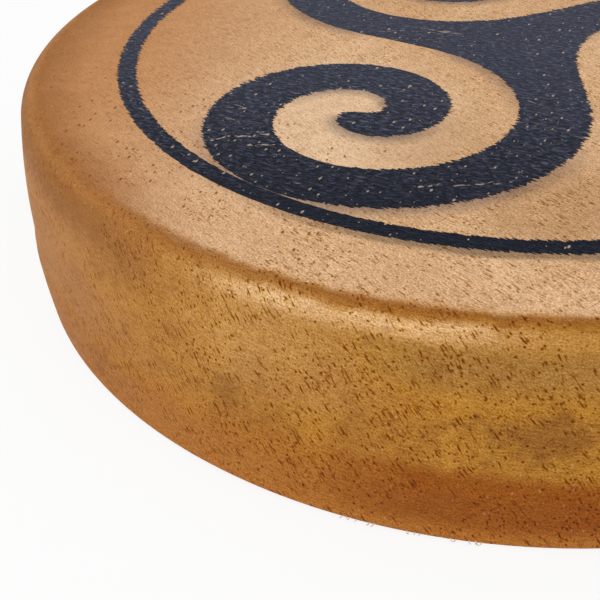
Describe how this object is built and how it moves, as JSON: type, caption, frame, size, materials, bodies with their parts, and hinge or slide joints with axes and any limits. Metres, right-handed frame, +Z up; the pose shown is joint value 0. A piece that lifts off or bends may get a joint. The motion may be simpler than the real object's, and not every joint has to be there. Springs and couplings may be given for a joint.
{
  "type": "ocean drum",
  "caption": "Round shallow double-headed drum: rawhide heads over a bent wooden shell, a printed spiral triskele in a thin ring on the playing face, loose steel shot rolling inside.",
  "frame": {"origin": "centre of the lower head's underside, the face on which the drum lies", "axes": "+Z up along the drum's axis, out of the printed playing face; -Y towards the viewer of the picture, +X to the right"},
  "size_m": [0.4064, 0.4064, 0.0812],
  "materials": {
    "bent_wood": "sanded bent wood, clear oiled",
    "rawhide": "natural goat rawhide, satin, with hair follicle marks",
    "rawhide_dark": "natural goat rawhide, darker where it is double",
    "ink": "blue-black ink, slightly glossy, printed on the hide",
    "steel": "bright round steel shot"
  },
  "bodies": {
    "drum": {"shell": "bent_wood", "lower_head": "rawhide_dark", "upper_head": "rawhide", "printed_ring": "ink", "printed_triskele": "ink"},
    "wall_shot": {"shot_rim": "steel"},
    "row_01": {"shot_row_01": "steel"},
    "row_02": {"shot_row_02": "steel"},
    "row_03": {"shot_row_03": "steel"},
    "row_04": {"shot_row_04": "steel"},
    "row_05": {"shot_row_05": "steel"},
    "row_06": {"shot_row_06": "steel"},
    "row_07": {"shot_row_07": "steel"},
    "row_08": {"shot_row_08": "steel"},
    "row_09": {"shot_row_09": "steel"},
    "row_10": {"shot_row_10": "steel"},
    "row_11": {"shot_row_11": "steel"}
  },
  "joints": [
    {"name": "shot_swirl", "type": "hinge", "parent": "drum", "child": "wall_shot", "pos_m": [0, 0, 0.0043], "axis": [0, 0, 1], "continuous": true},
    {"name": "row_01_roll", "type": "slide", "parent": "wall_shot", "child": "row_01", "axis": [1, 0, 0], "range_m": [-0.1545, 0.1545]},
    {"name": "row_02_roll", "type": "slide", "parent": "wall_shot", "child": "row_02", "axis": [1, 0, 0], "range_m": [-0.1495, 0.1495]},
    {"name": "row_03_roll", "type": "slide", "parent": "wall_shot", "child": "row_03", "axis": [1, 0, 0], "range_m": [-0.1445, 0.1445]},
    {"name": "row_04_roll", "type": "slide", "parent": "wall_shot", "child": "row_04", "axis": [1, 0, 0], "range_m": [-0.142, 0.142]},
    {"name": "row_05_roll", "type": "slide", "parent": "wall_shot", "child": "row_05", "axis": [1, 0, 0], "range_m": [-0.1425, 0.1425]},
    {"name": "row_06_roll", "type": "slide", "parent": "wall_shot", "child": "row_06", "axis": [1, 0, 0], "range_m": [-0.1425, 0.1425]},
    {"name": "row_07_roll", "type": "slide", "parent": "wall_shot", "child": "row_07", "axis": [1, 0, 0], "range_m": [-0.1425, 0.1425]},
    {"name": "row_08_roll", "type": "slide", "parent": "wall_shot", "child": "row_08", "axis": [1, 0, 0], "range_m": [-0.142, 0.142]},
    {"name": "row_09_roll", "type": "slide", "parent": "wall_shot", "child": "row_09", "axis": [1, 0, 0], "range_m": [-0.1445, 0.1445]},
    {"name": "row_10_roll", "type": "slide", "parent": "wall_shot", "child": "row_10", "axis": [1, 0, 0], "range_m": [-0.1495, 0.1495]},
    {"name": "row_11_roll", "type": "slide", "parent": "wall_shot", "child": "row_11", "axis": [1, 0, 0], "range_m": [-0.1545, 0.1545]}
  ]
}
